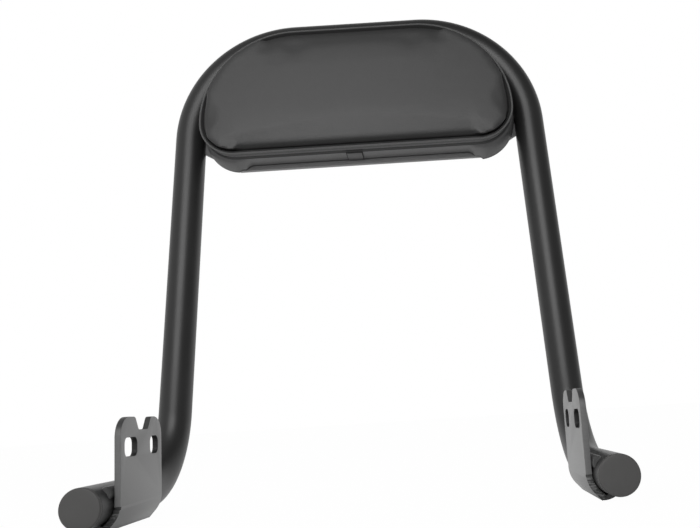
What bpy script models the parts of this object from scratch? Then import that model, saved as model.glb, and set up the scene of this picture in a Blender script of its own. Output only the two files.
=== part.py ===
"""Motorcycle backrest: a bent tube hoop with side mounting plates and a bolted-on pad.

Metres, +Z up, the rider faces -Y and leans back on the pad's -Y side.
The origin lies midway between the two side plates, at the height and the middle of their bolt slots.
"""
import math

import bmesh
import bpy
from mathutils import Matrix, Vector

MM = 0.001
FIT_GAP = 0.3 * MM  # between pieces that touch

# Hoop tube
TUBE_OD = 25.4 * MM
TUBE_WALL = 2.0 * MM
TUBE_SIDES = 20
FOOT_SPACING = 321.0 * MM  # between the axes of the two foot tubes
FOOT_LENGTH = 149.0 * MM  # from the virtual corner under the leg to the cut end
LEG_RECLINE = math.radians(4.64)
LEG_SPLAY = math.radians(2.45)  # the legs close in towards the top, in the hoop's own plane
HOOP_HEIGHT = 383.5 * MM  # along the reclined plane, from the foot axis to the top axis
FOOT_BEND_RADIUS = 62.0 * MM
ARCH_BEND_RADIUS = 94.5 * MM
BEND_STEP = math.radians(7.5)

# Side mounting plates: a flat web, bent round the foot tube into a straight tab that passes under it
PLATE_THICKNESS = 4.0 * MM
PLATE_TOP = 19.2 * MM  # above the slots
SLOT_SPACING = 38.5 * MM
SLOT_HEIGHT = 12.0 * MM
FRONT_SLOT_LENGTH = 19.5 * MM
REAR_SLOT_LENGTH = 13.8 * MM
FRONT_SLOT_MARGIN = 6.6 * MM  # from the slot's end to the plate's edge
REAR_SLOT_MARGIN = 6.9 * MM
SLOT_ABOVE_FOOT_AXIS = 34.2 * MM
PLATE_CENTRE_AHEAD = 98.25 * MM  # from the slots' middle back to the virtual corner
NOTCH_DEPTH = 8.4 * MM
NOTCH_TOP_WIDTH = 26.0 * MM
NOTCH_BOTTOM_WIDTH = 15.0 * MM
NOTCH_CENTRE = 0.8 * MM  # behind the slots' middle
NOTCH_ROOT_RADIUS = 2.0 * MM
FINGER_ROUND = 13.0 * MM
SADDLE_ANGLE = math.radians(42)  # of the bend round the tube
SADDLE_TAB = 6.8 * MM  # the straight tab after the bend
RELIEF_DEPTH = 1.4 * MM
RELIEF_HEIGHT = 1.8 * MM

# Foot plugs
PLUG_HEAD = 3.0 * MM
PLUG_HEAD_ROUND = 1.0 * MM
PLUG_SHANK = 15.0 * MM
PLUG_RIBS = 3
PLUG_RIB_DEPTH = 1.1 * MM

# Weld beads
GROOVE_BEAD_START = math.radians(18)  # round the tube, up from its inner side
GROOVE_BEAD_END = math.radians(58)
GROOVE_BEAD_CROWN = 0.5 * MM
GROOVE_BEAD_RUN_ON = 5.5 * MM  # ahead of the plate's front edge
WELD_END_INSET = 2.0 * MM
SADDLE_BEAD_ROOT = math.radians(19)  # round the tube, on from the end of the saddle's bend
SADDLE_BEAD_END = math.radians(61)
SADDLE_BEAD_COVER = 0.85  # share of the tab's end face
PAD_PLATE_BEAD_ANGLE = math.radians(23)  # round the tube
PAD_PLATE_BEAD_LEG = 4.4 * MM
TOP_BEAD_LENGTH = 42.0 * MM
ARCH_BEAD_START = math.radians(6)  # round the arch bend, from level with its centre
ARCH_BEAD_END = math.radians(30)

# Steel plate that carries the pad, in the hoop's plane
PAD_PLATE_THICKNESS = 4.0 * MM
PAD_PLATE_DROP = 121.5 * MM  # from the top bar's axis to the plate's lower edge
PAD_PLATE_CORNER_HEIGHT = 24.0 * MM  # of its cut lower corners
PAD_PLATE_CORNER_WIDTH = 30.5 * MM

# Pad outline at its front seam, in the hoop's plane, and the pad's depths in front of the pad plate
PAD_ABOVE_PLATE_EDGE = 3.8 * MM
PAD_TOP_BELOW_BAR_AXIS = 7.0 * MM
PAD_SIDE_CLEARANCE = 4.0 * MM  # to the legs
PAD_LOWER_RADIUS = 30.0 * MM
PAD_ARCH_CLEARANCE = 1.1 * MM  # the cover's back edge to the top bar
FRONT_SEAM_DEPTH = 28.0 * MM
REAR_SEAM_DEPTH = 18.0 * MM
PAD_CROWN = 9.0 * MM
CROWN_REACH = 30.0 * MM
LEAST_CORNER = 0.4 * MM
VINYL = 1.2 * MM
PIPING_DIAMETER = 2.2 * MM
HEM_WIDTH = 14.0 * MM
BOARD_THICKNESS = 8.0 * MM
TAB_WIDTH = 14.0 * MM
TAB_CENTRE = -4.0 * MM
TAB_THICKNESS = 1.0 * MM
TAB_FRONT = 16.5 * MM
TAB_BACK = 3.0 * MM

# Pad fasteners
BOLT_DIAMETER = 6.0 * MM
BOLT_LENGTH = 16.0 * MM
BOLT_HEAD_DIAMETER = 11.0 * MM
BOLT_HEAD_HEIGHT = 3.3 * MM
BOLT_SOCKET_ACROSS = 4.0 * MM
BOLT_SOCKET_DEPTH = 2.0 * MM
WASHER_DIAMETER = 16.0 * MM
WASHER_THICKNESS = 1.5 * MM
TEE_NUT_FLANGE = 19.0 * MM
TEE_NUT_FLANGE_THICKNESS = 1.2 * MM
TEE_NUT_BARREL = 9.0 * MM
TEE_NUT_INSET = 1.0 * MM  # the barrel's end inside the board
BOLT_HALF_SPAN = 62.0 * MM
BOLT_ROW_HEIGHTS = (26.2 * MM, 80.2 * MM)  # above the pad's lower edge

# Values that follow from the ones above
TUBE_R = TUBE_OD / 2
FOOT_AXIS_X = FOOT_SPACING / 2
FOOT_AXIS_Z = -SLOT_ABOVE_FOOT_AXIS
CORNER_Y = PLATE_CENTRE_AHEAD
FOOT_END_Y = CORNER_Y - FOOT_LENGTH
SADDLE_INNER_R = TUBE_R + FIT_GAP
SADDLE_OUTER_R = SADDLE_INNER_R + PLATE_THICKNESS
WEB_OUTER_X = FOOT_AXIS_X - SADDLE_INNER_R
WEB_INNER_X = WEB_OUTER_X - PLATE_THICKNESS
PLATE_FRONT = -(SLOT_SPACING + FRONT_SLOT_LENGTH) / 2 - FRONT_SLOT_MARGIN
PLATE_REAR = (SLOT_SPACING + REAR_SLOT_LENGTH) / 2 + REAR_SLOT_MARGIN
PAD_PLATE_BOTTOM = HOOP_HEIGHT - PAD_PLATE_DROP
PAD_PLATE_SHOULDER = PAD_PLATE_BOTTOM + PAD_PLATE_CORNER_HEIGHT
PAD_BOTTOM = PAD_PLATE_BOTTOM + PAD_ABOVE_PLATE_EDGE
PAD_TOP = HOOP_HEIGHT - PAD_TOP_BELOW_BAR_AXIS
PAD_UPPER_RADIUS = ARCH_BEND_RADIUS - TUBE_R  # follows the arch's inner edge
REAR_TOP_DROP = TUBE_R + PAD_ARCH_CLEARANCE - PAD_TOP_BELOW_BAR_AXIS
BOARD_BACK = FIT_GAP + VINYL + FIT_GAP
BOARD_FRONT = BOARD_BACK + BOARD_THICKNESS
BOLT_SEAT = PAD_PLATE_THICKNESS + WASHER_THICKNESS + 2 * FIT_GAP  # behind the plate's front face
BOLT_TIP = BOLT_SEAT - BOLT_LENGTH
SIDES = (("left", -1), ("right", 1))


def clear_scene():
    for old in list(bpy.data.objects):
        bpy.data.objects.remove(old, do_unlink=True)


def make_material(name, colour, roughness, metallic):
    material = bpy.data.materials.new(name)
    material.use_nodes = True
    shader = material.node_tree.nodes["Principled BSDF"]
    shader.inputs["Base Color"].default_value = (*colour, 1.0)
    shader.inputs["Roughness"].default_value = roughness
    shader.inputs["Metallic"].default_value = metallic
    return material


def add_object(name, bm, material, parent=None, smooth=30):
    """Turns a finished bmesh into an object of the scene, with its faces pointing out."""
    bmesh.ops.recalc_face_normals(bm, faces=bm.faces)
    mesh = bpy.data.meshes.new(name)
    bm.to_mesh(mesh)
    bm.free()
    if smooth:
        mesh.shade_smooth()
        mesh.set_sharp_from_angle(angle=math.radians(smooth))
    mesh.materials.append(material)
    obj = bpy.data.objects.new(name, mesh)
    bpy.context.scene.collection.objects.link(obj)
    obj.parent = parent
    return obj


def hide_cutter(obj):
    obj.hide_render = True
    obj.display_type = "WIRE"
    return obj


def boolean(obj, tool, operation):
    modifier = obj.modifiers.new(f"{operation.lower()} {tool.name}", "BOOLEAN")
    modifier.operation = operation
    modifier.object = tool
    modifier.solver = "EXACT"


def arc(centre, radius, start, end, steps):
    """Points of an arc in a plane, from one angle to the other, both ends included."""
    return [
        (
            centre[0] + radius * math.cos(start + (end - start) * i / steps),
            centre[1] + radius * math.sin(start + (end - start) * i / steps),
        )
        for i in range(steps + 1)
    ]


def prism(outline, low, high, to_point):
    """Extrudes a closed outline from low to high. to_point(a, b, depth) places its points."""
    bm = bmesh.new()
    face = bm.faces.new([bm.verts.new(to_point(a, b, low)) for a, b in outline])
    extruded = bmesh.ops.extrude_face_region(bm, geom=[face])["geom"]
    shift = Vector(to_point(0, 0, high)) - Vector(to_point(0, 0, low))
    moved = [v for v in extruded if isinstance(v, bmesh.types.BMVert)]
    bmesh.ops.translate(bm, verts=moved, vec=shift)
    return bm


def turned(profile, steps, place):
    """Spins a (radius, height) profile that starts and ends on the axis, then places it."""
    bm = bmesh.new()
    verts = [bm.verts.new((radius, 0, height)) for radius, height in profile]
    edges = [bm.edges.new(pair) for pair in zip(verts, verts[1:])]
    bmesh.ops.spin(
        bm, geom=verts + edges, cent=(0, 0, 0), axis=(0, 0, 1), angle=math.tau, steps=steps, use_merge=True
    )
    bmesh.ops.remove_doubles(bm, verts=bm.verts, dist=0.001 * MM)
    bmesh.ops.transform(bm, matrix=place, verts=bm.verts)
    return bm


def turned_ring(profile, steps, place):
    """Spins a closed (radius, height) profile that stays clear of the axis."""
    return turned(profile + profile[:1], steps, place)


# Hoop tube


def foot_axis(side, y):
    return Vector((side * FOOT_AXIS_X, y, FOOT_AXIS_Z))


def leg_direction(side):
    """From the foot up the leg: leaning back with the hoop's plane, closing in with the splay."""
    flat = Vector((-side * math.sin(LEG_SPLAY), 0, math.cos(LEG_SPLAY)))
    return Matrix.Rotation(-LEG_RECLINE, 3, "X") @ flat


def ring_geometry(geom):
    return [item for item in geom if isinstance(item, (bmesh.types.BMVert, bmesh.types.BMEdge))]


def push(bm, ring, direction, length):
    """Draws the tube's open end straight on."""
    edges = [item for item in ring if isinstance(item, bmesh.types.BMEdge)]
    drawn = bmesh.ops.extrude_edge_only(bm, edges=edges)["geom"]
    verts = [item for item in drawn if isinstance(item, bmesh.types.BMVert)]
    bmesh.ops.translate(bm, verts=verts, vec=direction * length)
    end_edges = [e for e in drawn if isinstance(e, bmesh.types.BMEdge) and all(v in verts for v in e.verts)]
    return verts + end_edges


def bend(bm, ring, end_centre, direction, new_direction, radius):
    """Bends the tube's open end round from one direction to the next."""
    turn = direction.angle(new_direction)
    axis = direction.cross(new_direction).normalized()
    towards = axis.cross(direction)
    steps = max(2, round(turn / BEND_STEP))
    spun = bmesh.ops.spin(
        bm, geom=ring, cent=end_centre + towards * radius, axis=axis, angle=turn, steps=steps
    )
    return ring_geometry(spun["geom_last"])


def make_hoop_tube(steel):
    """One tube, bent four times: foot, leg, top bar, leg, foot."""
    along = Vector((0, 1, 0))
    leg_up = leg_direction(-1)
    across = Vector((1, 0, 0))
    leg_down = -leg_direction(1)
    foot_tangent = FOOT_BEND_RADIUS * math.tan(along.angle(leg_up) / 2)
    arch_tangent = ARCH_BEND_RADIUS * math.tan(leg_up.angle(across) / 2)
    leg_length = HOOP_HEIGHT / math.cos(LEG_SPLAY)
    half_top = FOOT_AXIS_X - HOOP_HEIGHT * math.tan(LEG_SPLAY)
    runs = (
        (along, FOOT_LENGTH - foot_tangent, leg_up, FOOT_BEND_RADIUS),
        (leg_up, leg_length - foot_tangent - arch_tangent, across, ARCH_BEND_RADIUS),
        (across, 2 * (half_top - arch_tangent), leg_down, ARCH_BEND_RADIUS),
        (leg_down, leg_length - foot_tangent - arch_tangent, -along, FOOT_BEND_RADIUS),
        (-along, FOOT_LENGTH - foot_tangent, None, None),
    )
    bm = bmesh.new()
    centre = foot_axis(-1, FOOT_END_Y)
    place = Matrix.Translation(centre) @ Matrix.Rotation(-math.pi / 2, 4, "X")
    circle = bmesh.ops.create_circle(bm, radius=TUBE_R, segments=TUBE_SIDES, matrix=place)["verts"]
    ring = circle + list({edge for vert in circle for edge in vert.link_edges})
    for direction, length, new_direction, radius in runs:
        ring = push(bm, ring, direction, length)
        centre = centre + direction * length
        if new_direction is not None:
            ring = bend(bm, ring, centre, direction, new_direction, radius)
            turn = direction.angle(new_direction)
            centre = centre + (direction + new_direction) * radius * math.tan(turn / 2)
    tube = add_object("hoop_tube", bm, steel, smooth=60)
    wall = tube.modifiers.new("wall", "SOLIDIFY")
    wall.thickness = TUBE_WALL
    wall.offset = -1.0
    wall.use_even_offset = True
    return tube


def make_end_plug(label, side, plastic):
    """A push-in plug: a flush rounded head and a shank with gripping ribs."""
    shank_r = TUBE_R - TUBE_WALL - FIT_GAP
    core_r = shank_r - PLUG_RIB_DEPTH
    pitch = PLUG_SHANK / PLUG_RIBS
    profile = [(0, PLUG_HEAD)]
    profile += arc(
        (TUBE_R - PLUG_HEAD_ROUND, PLUG_HEAD - PLUG_HEAD_ROUND), PLUG_HEAD_ROUND, math.pi / 2, 0, 3
    )
    profile += [(TUBE_R, FIT_GAP), (core_r, FIT_GAP)]
    for rib in range(PLUG_RIBS):
        top = -rib * pitch - pitch * 0.35
        profile += [(core_r, top), (shank_r, top - pitch * 0.1), (core_r, top - pitch * 0.6)]
    profile += [(core_r, -PLUG_SHANK), (0, -PLUG_SHANK)]
    facing_front = Matrix.Translation(foot_axis(side, FOOT_END_Y)) @ Matrix.Rotation(math.pi / 2, 4, "X")
    return add_object(f"end_plug_{label}", turned(profile, TUBE_SIDES, facing_front), plastic)


# Side mounting plates


def saddle_point(side, radius, angle):
    """A point round the foot tube's axis. Angle 0 faces the bike, a right angle faces down."""
    return (side * (FOOT_AXIS_X - radius * math.cos(angle)), FOOT_AXIS_Z - radius * math.sin(angle))


def along_y(a, b, depth):
    return (a, depth, b)


def tab_point(side, off_axis, along):
    """A point of the saddle's straight tab, at a distance off the tube's axis and along the tab."""
    x, z = saddle_point(side, off_axis, SADDLE_ANGLE)
    return (x + side * along * math.sin(SADDLE_ANGLE), z - along * math.cos(SADDLE_ANGLE))


def plate_section(side):
    """The plate seen from the front: the upright web, the bend round the tube and the tab under it."""
    steps = 5
    angles = [SADDLE_ANGLE * i / steps for i in range(steps + 1)]
    inner = [saddle_point(side, SADDLE_INNER_R, a) for a in angles]
    outer = [saddle_point(side, SADDLE_OUTER_R, a) for a in reversed(angles)]
    tab = [tab_point(side, SADDLE_INNER_R, SADDLE_TAB), tab_point(side, SADDLE_OUTER_R, SADDLE_TAB)]
    return [(side * WEB_OUTER_X, PLATE_TOP)] + inner + tab + outer + [(side * WEB_INNER_X, PLATE_TOP)]


def plate_side_outline():
    """The plate seen from the side: rounded fingers and the notch between them."""
    low = FOOT_AXIS_Z - SADDLE_OUTER_R - SADDLE_TAB
    notch_floor = PLATE_TOP - NOTCH_DEPTH
    notch_front, notch_rear = NOTCH_CENTRE - NOTCH_BOTTOM_WIDTH / 2, NOTCH_CENTRE + NOTCH_BOTTOM_WIDTH / 2
    root = NOTCH_ROOT_RADIUS
    finger_z = PLATE_TOP - FINGER_ROUND
    relief_y, relief_z = PLATE_FRONT + RELIEF_DEPTH, FOOT_AXIS_Z - RELIEF_HEIGHT
    outline = [(PLATE_FRONT, low), (PLATE_FRONT, relief_z), (relief_y, relief_z)]
    outline += [(relief_y, FOOT_AXIS_Z), (PLATE_FRONT, FOOT_AXIS_Z)]
    outline += arc((PLATE_FRONT + FINGER_ROUND, finger_z), FINGER_ROUND, math.pi, math.pi / 2, 6)
    outline += [(NOTCH_CENTRE - NOTCH_TOP_WIDTH / 2, PLATE_TOP)]
    outline += [(notch_front - root * 0.4, notch_floor + root * 0.5)]
    outline += [(notch_front + root * 0.5, notch_floor)]
    outline += [(notch_rear - root * 0.5, notch_floor)]
    outline += [(notch_rear + root * 0.4, notch_floor + root * 0.5)]
    outline += [(NOTCH_CENTRE + NOTCH_TOP_WIDTH / 2, PLATE_TOP)]
    outline += arc((PLATE_REAR - FINGER_ROUND, finger_z), FINGER_ROUND, math.pi / 2, 0, 6)
    return outline + [(PLATE_REAR, low)]


def slot_outline(centre_y, length):
    """A slot with round ends."""
    radius = SLOT_HEIGHT / 2
    reach = (length - SLOT_HEIGHT) / 2
    front = arc((centre_y - reach, 0), radius, math.pi / 2, 3 * math.pi / 2, 8)
    rear = arc((centre_y + reach, 0), radius, -math.pi / 2, math.pi / 2, 8)
    return front + rear


def make_mount_plate(label, side, steel):
    section = prism(plate_section(side), PLATE_FRONT, PLATE_REAR, along_y)
    plate = add_object(f"mount_plate_{label}", section, steel)

    def along_x(a, b, depth):
        return (side * depth, a, b)

    near, far = WEB_INNER_X - PLATE_THICKNESS, FOOT_AXIS_X + TUBE_R
    slot_far = WEB_OUTER_X + PLATE_THICKNESS
    outline = add_object(f"outline_{label}", prism(plate_side_outline(), near, far, along_x), steel)
    boolean(plate, hide_cutter(outline), "INTERSECT")
    slots = (("front", -SLOT_SPACING / 2, FRONT_SLOT_LENGTH), ("rear", SLOT_SPACING / 2, REAR_SLOT_LENGTH))
    for place, centre_y, length in slots:
        cut = prism(slot_outline(centre_y, length), near, slot_far, along_x)
        slot = add_object(f"slot_{place}_{label}", cut, steel)
        boolean(plate, hide_cutter(slot), "DIFFERENCE")
    return plate


# Weld beads


def make_groove_weld(label, side, steel):
    """Fills the groove between the web and the tube's upper inner quarter, and runs on in front of the web."""
    clear_r = TUBE_R + FIT_GAP
    web_x = WEB_OUTER_X + FIT_GAP

    section = arc((FOOT_AXIS_X, 0), clear_r, math.pi - GROOVE_BEAD_START, math.pi - GROOVE_BEAD_END, 5)
    toe, top = section[0][1], section[-1][1]
    middle_x = (section[-1][0] + web_x) / 2
    section += [(middle_x, top + GROOVE_BEAD_CROWN), (web_x, top + GROOVE_BEAD_CROWN / 2), (web_x, toe)]
    outline = [(side * x, FOOT_AXIS_Z + height) for x, height in section]
    bead = prism(outline, PLATE_FRONT - GROOVE_BEAD_RUN_ON, PLATE_REAR - WELD_END_INSET, along_y)
    return add_object(f"groove_weld_{label}", bead, steel)


def make_saddle_weld(label, side, steel):
    """Fills the wedge between the saddle's tab and the tube, and runs over the tab's end on to the tube."""
    inner_r = TUBE_R + FIT_GAP
    end = SADDLE_TAB + 1.1 * FIT_GAP
    cover = TUBE_R + SADDLE_BEAD_COVER * (PLATE_THICKNESS + FIT_GAP)
    edge_angle, edge_r = math.atan2(end, cover), math.hypot(end, cover)

    steps = 5
    inner, outer = [], []
    for i in range(steps + 1):
        share = i / steps
        angle = SADDLE_ANGLE + SADDLE_BEAD_ROOT + (SADDLE_BEAD_END - SADDLE_BEAD_ROOT) * share
        inner.append(saddle_point(side, inner_r, angle))
        angle = SADDLE_ANGLE + SADDLE_BEAD_END + (edge_angle - SADDLE_BEAD_END) * share
        outer.append(saddle_point(side, inner_r + (edge_r - inner_r) * share**1.2, angle))
    root = saddle_point(side, TUBE_R / math.cos(SADDLE_BEAD_ROOT), SADDLE_ANGLE + SADDLE_BEAD_ROOT)
    section = inner + outer[1:] + [tab_point(side, TUBE_R, end), root]
    front, rear = PLATE_FRONT + WELD_END_INSET, PLATE_REAR - WELD_END_INSET
    return add_object(f"saddle_weld_{label}", prism(section, front, rear, along_y), steel)


# Pad plate, in the hoop's plane: local X across, Z up the hoop, +Y behind


def arch_centre():
    """Centre of the right-hand arch bend, in the hoop's plane."""
    height = HOOP_HEIGHT - ARCH_BEND_RADIUS
    across = FOOT_AXIS_X - height * math.tan(LEG_SPLAY) - ARCH_BEND_RADIUS / math.cos(LEG_SPLAY)
    return across, height


def hoop_inner_x(height, clearance):
    """Half the free width inside the hoop at a height: between the legs, or inside the arch bends."""
    centre_x, centre_z = arch_centre()
    radius = ARCH_BEND_RADIUS - TUBE_R - clearance
    if height > centre_z + radius * math.sin(LEG_SPLAY):
        return centre_x + math.sqrt(radius**2 - (height - centre_z) ** 2)
    return FOOT_AXIS_X - height * math.tan(LEG_SPLAY) - (TUBE_R + clearance) / math.cos(LEG_SPLAY)


def mirrored(right_half):
    """Closes an outline given from bottom to top on its right-hand side."""
    return right_half + [(-x, z) for x, z in reversed(right_half)]


def hoop_plane(a, b, depth):
    return (a, depth, b)


def drill(obj, label, diameter, low, high):
    """Cuts a round hole at each pad bolt, from one depth behind the plate's front face to another."""
    sides = 16
    for name, place in bolt_places():
        outline = arc(place, diameter / 2, 0, math.tau * (sides - 1) / sides, sides - 1)
        bm = prism(outline, low, high, hoop_plane)
        cutter = add_object(f"{label}_{name}", bm, obj.data.materials[0], obj.parent)
        boolean(obj, hide_cutter(cutter), "DIFFERENCE")


def bolt_places():
    return [
        (f"{row}_{label}", (side * BOLT_HALF_SPAN, PAD_BOTTOM + height))
        for row, height in zip(("lower", "upper"), BOLT_ROW_HEIGHTS)
        for label, side in SIDES
    ]


def make_pad_plate(hoop, steel):
    """Fits inside the arch, with a straight lower edge and cut lower corners."""
    centre = arch_centre()
    radius = ARCH_BEND_RADIUS - TUBE_R - FIT_GAP
    shoulder_x = hoop_inner_x(PAD_PLATE_SHOULDER, FIT_GAP)
    right = [(shoulder_x - PAD_PLATE_CORNER_WIDTH, PAD_PLATE_BOTTOM), (shoulder_x, PAD_PLATE_SHOULDER)]
    right += [p for p in arc(centre, radius, LEG_SPLAY, math.pi / 2, 12) if p[1] > PAD_PLATE_SHOULDER]
    plate = add_object("pad_plate", prism(mirrored(right), 0, PAD_PLATE_THICKNESS, hoop_plane), steel, hoop)
    drill(plate, "plate_hole", BOLT_DIAMETER + 2 * FIT_GAP, -PAD_PLATE_THICKNESS, 2 * PAD_PLATE_THICKNESS)
    return plate


def bead_section():
    """Across the bead, from the tube's axis inward, and depth behind the hoop's plane."""
    clear_r = TUBE_R + FIT_GAP
    base = PAD_PLATE_THICKNESS + FIT_GAP
    start = math.asin(base / clear_r)
    on_tube = arc((0, 0), clear_r, start, start + PAD_PLATE_BEAD_ANGLE, 3)
    toe = (on_tube[0][0] + PAD_PLATE_BEAD_LEG, base)
    top = on_tube[-1]
    crown = ((toe[0] + top[0]) / 2 + 0.5 * MM, (toe[1] + top[1]) / 2 + 0.5 * MM)
    return on_tube + [crown, toe]


def make_arch_bead(label, side, hoop, steel):
    """Runs up the arch bend behind the pad plate's side."""
    centre_x, centre_z = arch_centre()
    steps = 6
    bm = bmesh.new()
    rings = []
    for i in range(steps + 1):
        angle = ARCH_BEAD_START + (ARCH_BEAD_END - ARCH_BEAD_START) * i / steps
        ring = []
        for across, depth in bead_section():
            radius = ARCH_BEND_RADIUS - across
            x = centre_x + radius * math.cos(angle)
            ring.append(bm.verts.new((side * x, depth, centre_z + radius * math.sin(angle))))
        rings.append(ring)
    for first, second in zip(rings, rings[1:]):
        bridge(bm, first, second)
    bm.faces.new(rings[0])
    bm.faces.new(rings[-1])
    return add_object(f"pad_plate_weld_{label}", bm, steel, hoop)


def make_top_bead(hoop, steel):
    """Runs under the top bar behind the pad plate."""
    outline = [(HOOP_HEIGHT - across, depth) for across, depth in bead_section()]
    bead = prism(outline, -TOP_BEAD_LENGTH / 2, TOP_BEAD_LENGTH / 2, lambda a, b, depth: (depth, b, a))
    return add_object("pad_plate_weld_top", bead, steel, hoop)


# Pad, in the hoop's plane with depth counted forward from the pad plate


def top_drop(depth):
    """Behind the rear seam the pad's top comes down, to pass inside the top bar."""
    share = min(max(1 - depth / REAR_SEAM_DEPTH, 0), 1)
    return REAR_TOP_DROP * share**0.8


def pad_outline(inset, depth):
    """The pad's outline at a depth, drawn in by inset: flat foot, tight lower and wide upper corners."""
    half_width = hoop_inner_x(PAD_PLATE_SHOULDER, PAD_SIDE_CLEARANCE)
    lower_reach = max(PAD_LOWER_RADIUS, inset + LEAST_CORNER)
    lower_r = lower_reach - inset
    upper_r = PAD_UPPER_RADIUS - inset
    lower_centre = (half_width - lower_reach, PAD_BOTTOM + lower_reach)
    upper_centre = (half_width - PAD_UPPER_RADIUS, PAD_TOP - top_drop(depth) - PAD_UPPER_RADIUS)
    foot = [(lower_centre[0] * i / 4, PAD_BOTTOM + inset) for i in range(4)]
    right = foot + arc(lower_centre, lower_r, -math.pi / 2, 0, 8)
    upper_start = math.asin(max(lower_centre[1] - upper_centre[1], 0) / upper_r)
    right += arc(upper_centre, upper_r, upper_start, math.pi / 2, 12)[1:]
    left = [(-x, z) for x, z in reversed(right[1:])]
    return right + left


def pad_ring(bm, inset, depth):
    return [bm.verts.new((x, -depth, z)) for x, z in pad_outline(inset, depth)]


def bridge(bm, first, second):
    count = len(first)
    for i in range(count):
        j = (i + 1) % count
        bm.faces.new((first[i], first[j], second[j], second[i]))


def hoop_of(section):
    """Sweeps a closed (inset, depth) section round the pad's outline."""
    bm = bmesh.new()
    rings = [pad_ring(bm, inset, depth) for inset, depth in section]
    for first, second in zip(rings, rings[1:] + rings[:1]):
        bridge(bm, first, second)
    return bm


def filled(section):
    """As hoop_of, but the section's two ends are closed by flat faces across the pad."""
    bm = bmesh.new()
    rings = [pad_ring(bm, inset, depth) for inset, depth in section]
    for first, second in zip(rings, rings[1:]):
        bridge(bm, first, second)
    bm.faces.new(rings[0])
    bm.faces.new(rings[-1])
    return bm


def crown_profile(inset, depth):
    """(inset, depth) pairs of the domed front, from its rim to where it levels out."""
    steps = 6
    span = CROWN_REACH - inset
    pairs = []
    for i in range(steps + 1):
        share = i / steps
        rise = PAD_CROWN * math.sin(share * math.pi / 2) ** 0.8
        pairs.append((inset + span * (1 - math.cos(share * math.pi / 2)) * 0.95, depth + rise))
    return pairs


def rear_band_depths(back):
    """Depths from the rear seam to the band's back edge."""
    top = REAR_SEAM_DEPTH - FIT_GAP / 2
    steps = 4
    return [top + (back - top) * i / steps for i in range(steps + 1)]


def make_front_panel(hoop, vinyl):
    rim = PIPING_DIAMETER / 2 + FIT_GAP
    outer = crown_profile(rim, FRONT_SEAM_DEPTH)
    inner = [(inset + VINYL * 0.6, depth - VINYL) for inset, depth in outer]
    return add_object("cover_front_panel", filled(list(reversed(inner)) + outer), vinyl, hoop, smooth=50)


def make_side_band(hoop, vinyl):
    top = FRONT_SEAM_DEPTH - PIPING_DIAMETER / 2 - FIT_GAP
    low = REAR_SEAM_DEPTH + FIT_GAP / 2
    section = [(0, low), (0, top), (VINYL, top), (VINYL, low)]
    return add_object("cover_side_band", hoop_of(section), vinyl, hoop, smooth=50)


def make_rear_band(hoop, vinyl):
    """Runs back round the board's edge and turns in as a hem behind it."""
    outer = [(0, depth) for depth in rear_band_depths(FIT_GAP)]
    hem = [(HEM_WIDTH, FIT_GAP), (HEM_WIDTH, FIT_GAP + VINYL)]
    inner = [(VINYL, depth) for depth in reversed(rear_band_depths(FIT_GAP + VINYL))]
    return add_object("cover_rear_band", hoop_of(outer + hem + inner), vinyl, hoop, smooth=50)


def make_piping(hoop, vinyl):
    """The round cord that stands in the front seam."""
    radius = PIPING_DIAMETER / 2
    section = arc((0, FRONT_SEAM_DEPTH), radius, 0, math.tau * 7 / 8, 7)
    return add_object("seam_piping", hoop_of(section), vinyl, hoop, smooth=60)


def make_band_tab(hoop, vinyl):
    """The small sewn patch over the band's joint, under the pad."""
    top = PAD_BOTTOM - FIT_GAP
    outline = [
        (TAB_CENTRE - TAB_WIDTH / 2, top - TAB_THICKNESS),
        (TAB_CENTRE + TAB_WIDTH / 2, top - TAB_THICKNESS),
        (TAB_CENTRE + TAB_WIDTH / 2, top),
        (TAB_CENTRE - TAB_WIDTH / 2, top),
    ]
    return add_object("cover_band_tab", prism(outline, -TAB_FRONT, -TAB_BACK, hoop_plane), vinyl, hoop)


def make_base_board(hoop, board_material):
    outline = pad_outline(VINYL + FIT_GAP, BOARD_BACK)
    bm = prism(outline, -BOARD_FRONT, -BOARD_BACK, hoop_plane)
    board = add_object("base_board", bm, board_material, hoop)
    drill(board, "board_hole", TEE_NUT_BARREL + 2 * FIT_GAP, -2 * BOARD_FRONT, 0)
    return board


def make_foam_core(hoop, foam):
    """Fills the cover in front of the board."""
    side = VINYL + FIT_GAP
    back = BOARD_FRONT + FIT_GAP
    rim = PIPING_DIAMETER / 2 + FIT_GAP
    front = [
        (inset + VINYL * 0.6 + FIT_GAP, depth - VINYL - FIT_GAP)
        for inset, depth in crown_profile(rim, FRONT_SEAM_DEPTH)
    ]
    shoulder = FRONT_SEAM_DEPTH - PIPING_DIAMETER / 2 - VINYL - FIT_GAP
    section = [(side, back), (side, REAR_SEAM_DEPTH), (side, shoulder)] + front
    core = add_object("foam_core", filled(section), foam, hoop, smooth=50)
    pocket = max(back + TEE_NUT_FLANGE_THICKNESS, -BOLT_TIP) + FIT_GAP
    drill(core, "foam_pocket", TEE_NUT_FLANGE + 2 * FIT_GAP, -pocket, 0)
    return core


# Pad fasteners: heads behind the plate, threads in the board


def facing_back(place):
    """Puts a turned piece on a bolt's axis, with its height counted backwards from the plate's front."""
    return Matrix.Translation((place[0], 0, place[1])) @ Matrix.Rotation(-math.pi / 2, 4, "X")


def make_washer(name, place, hoop, steel):
    hole_r = BOLT_DIAMETER / 2 + FIT_GAP
    outer_r = WASHER_DIAMETER / 2
    low = PAD_PLATE_THICKNESS + FIT_GAP
    high = low + WASHER_THICKNESS
    profile = [(hole_r, low), (outer_r, low), (outer_r, high), (hole_r, high)]
    return add_object(f"washer_{name}", turned_ring(profile, 16, facing_back(place)), steel, hoop)


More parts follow.
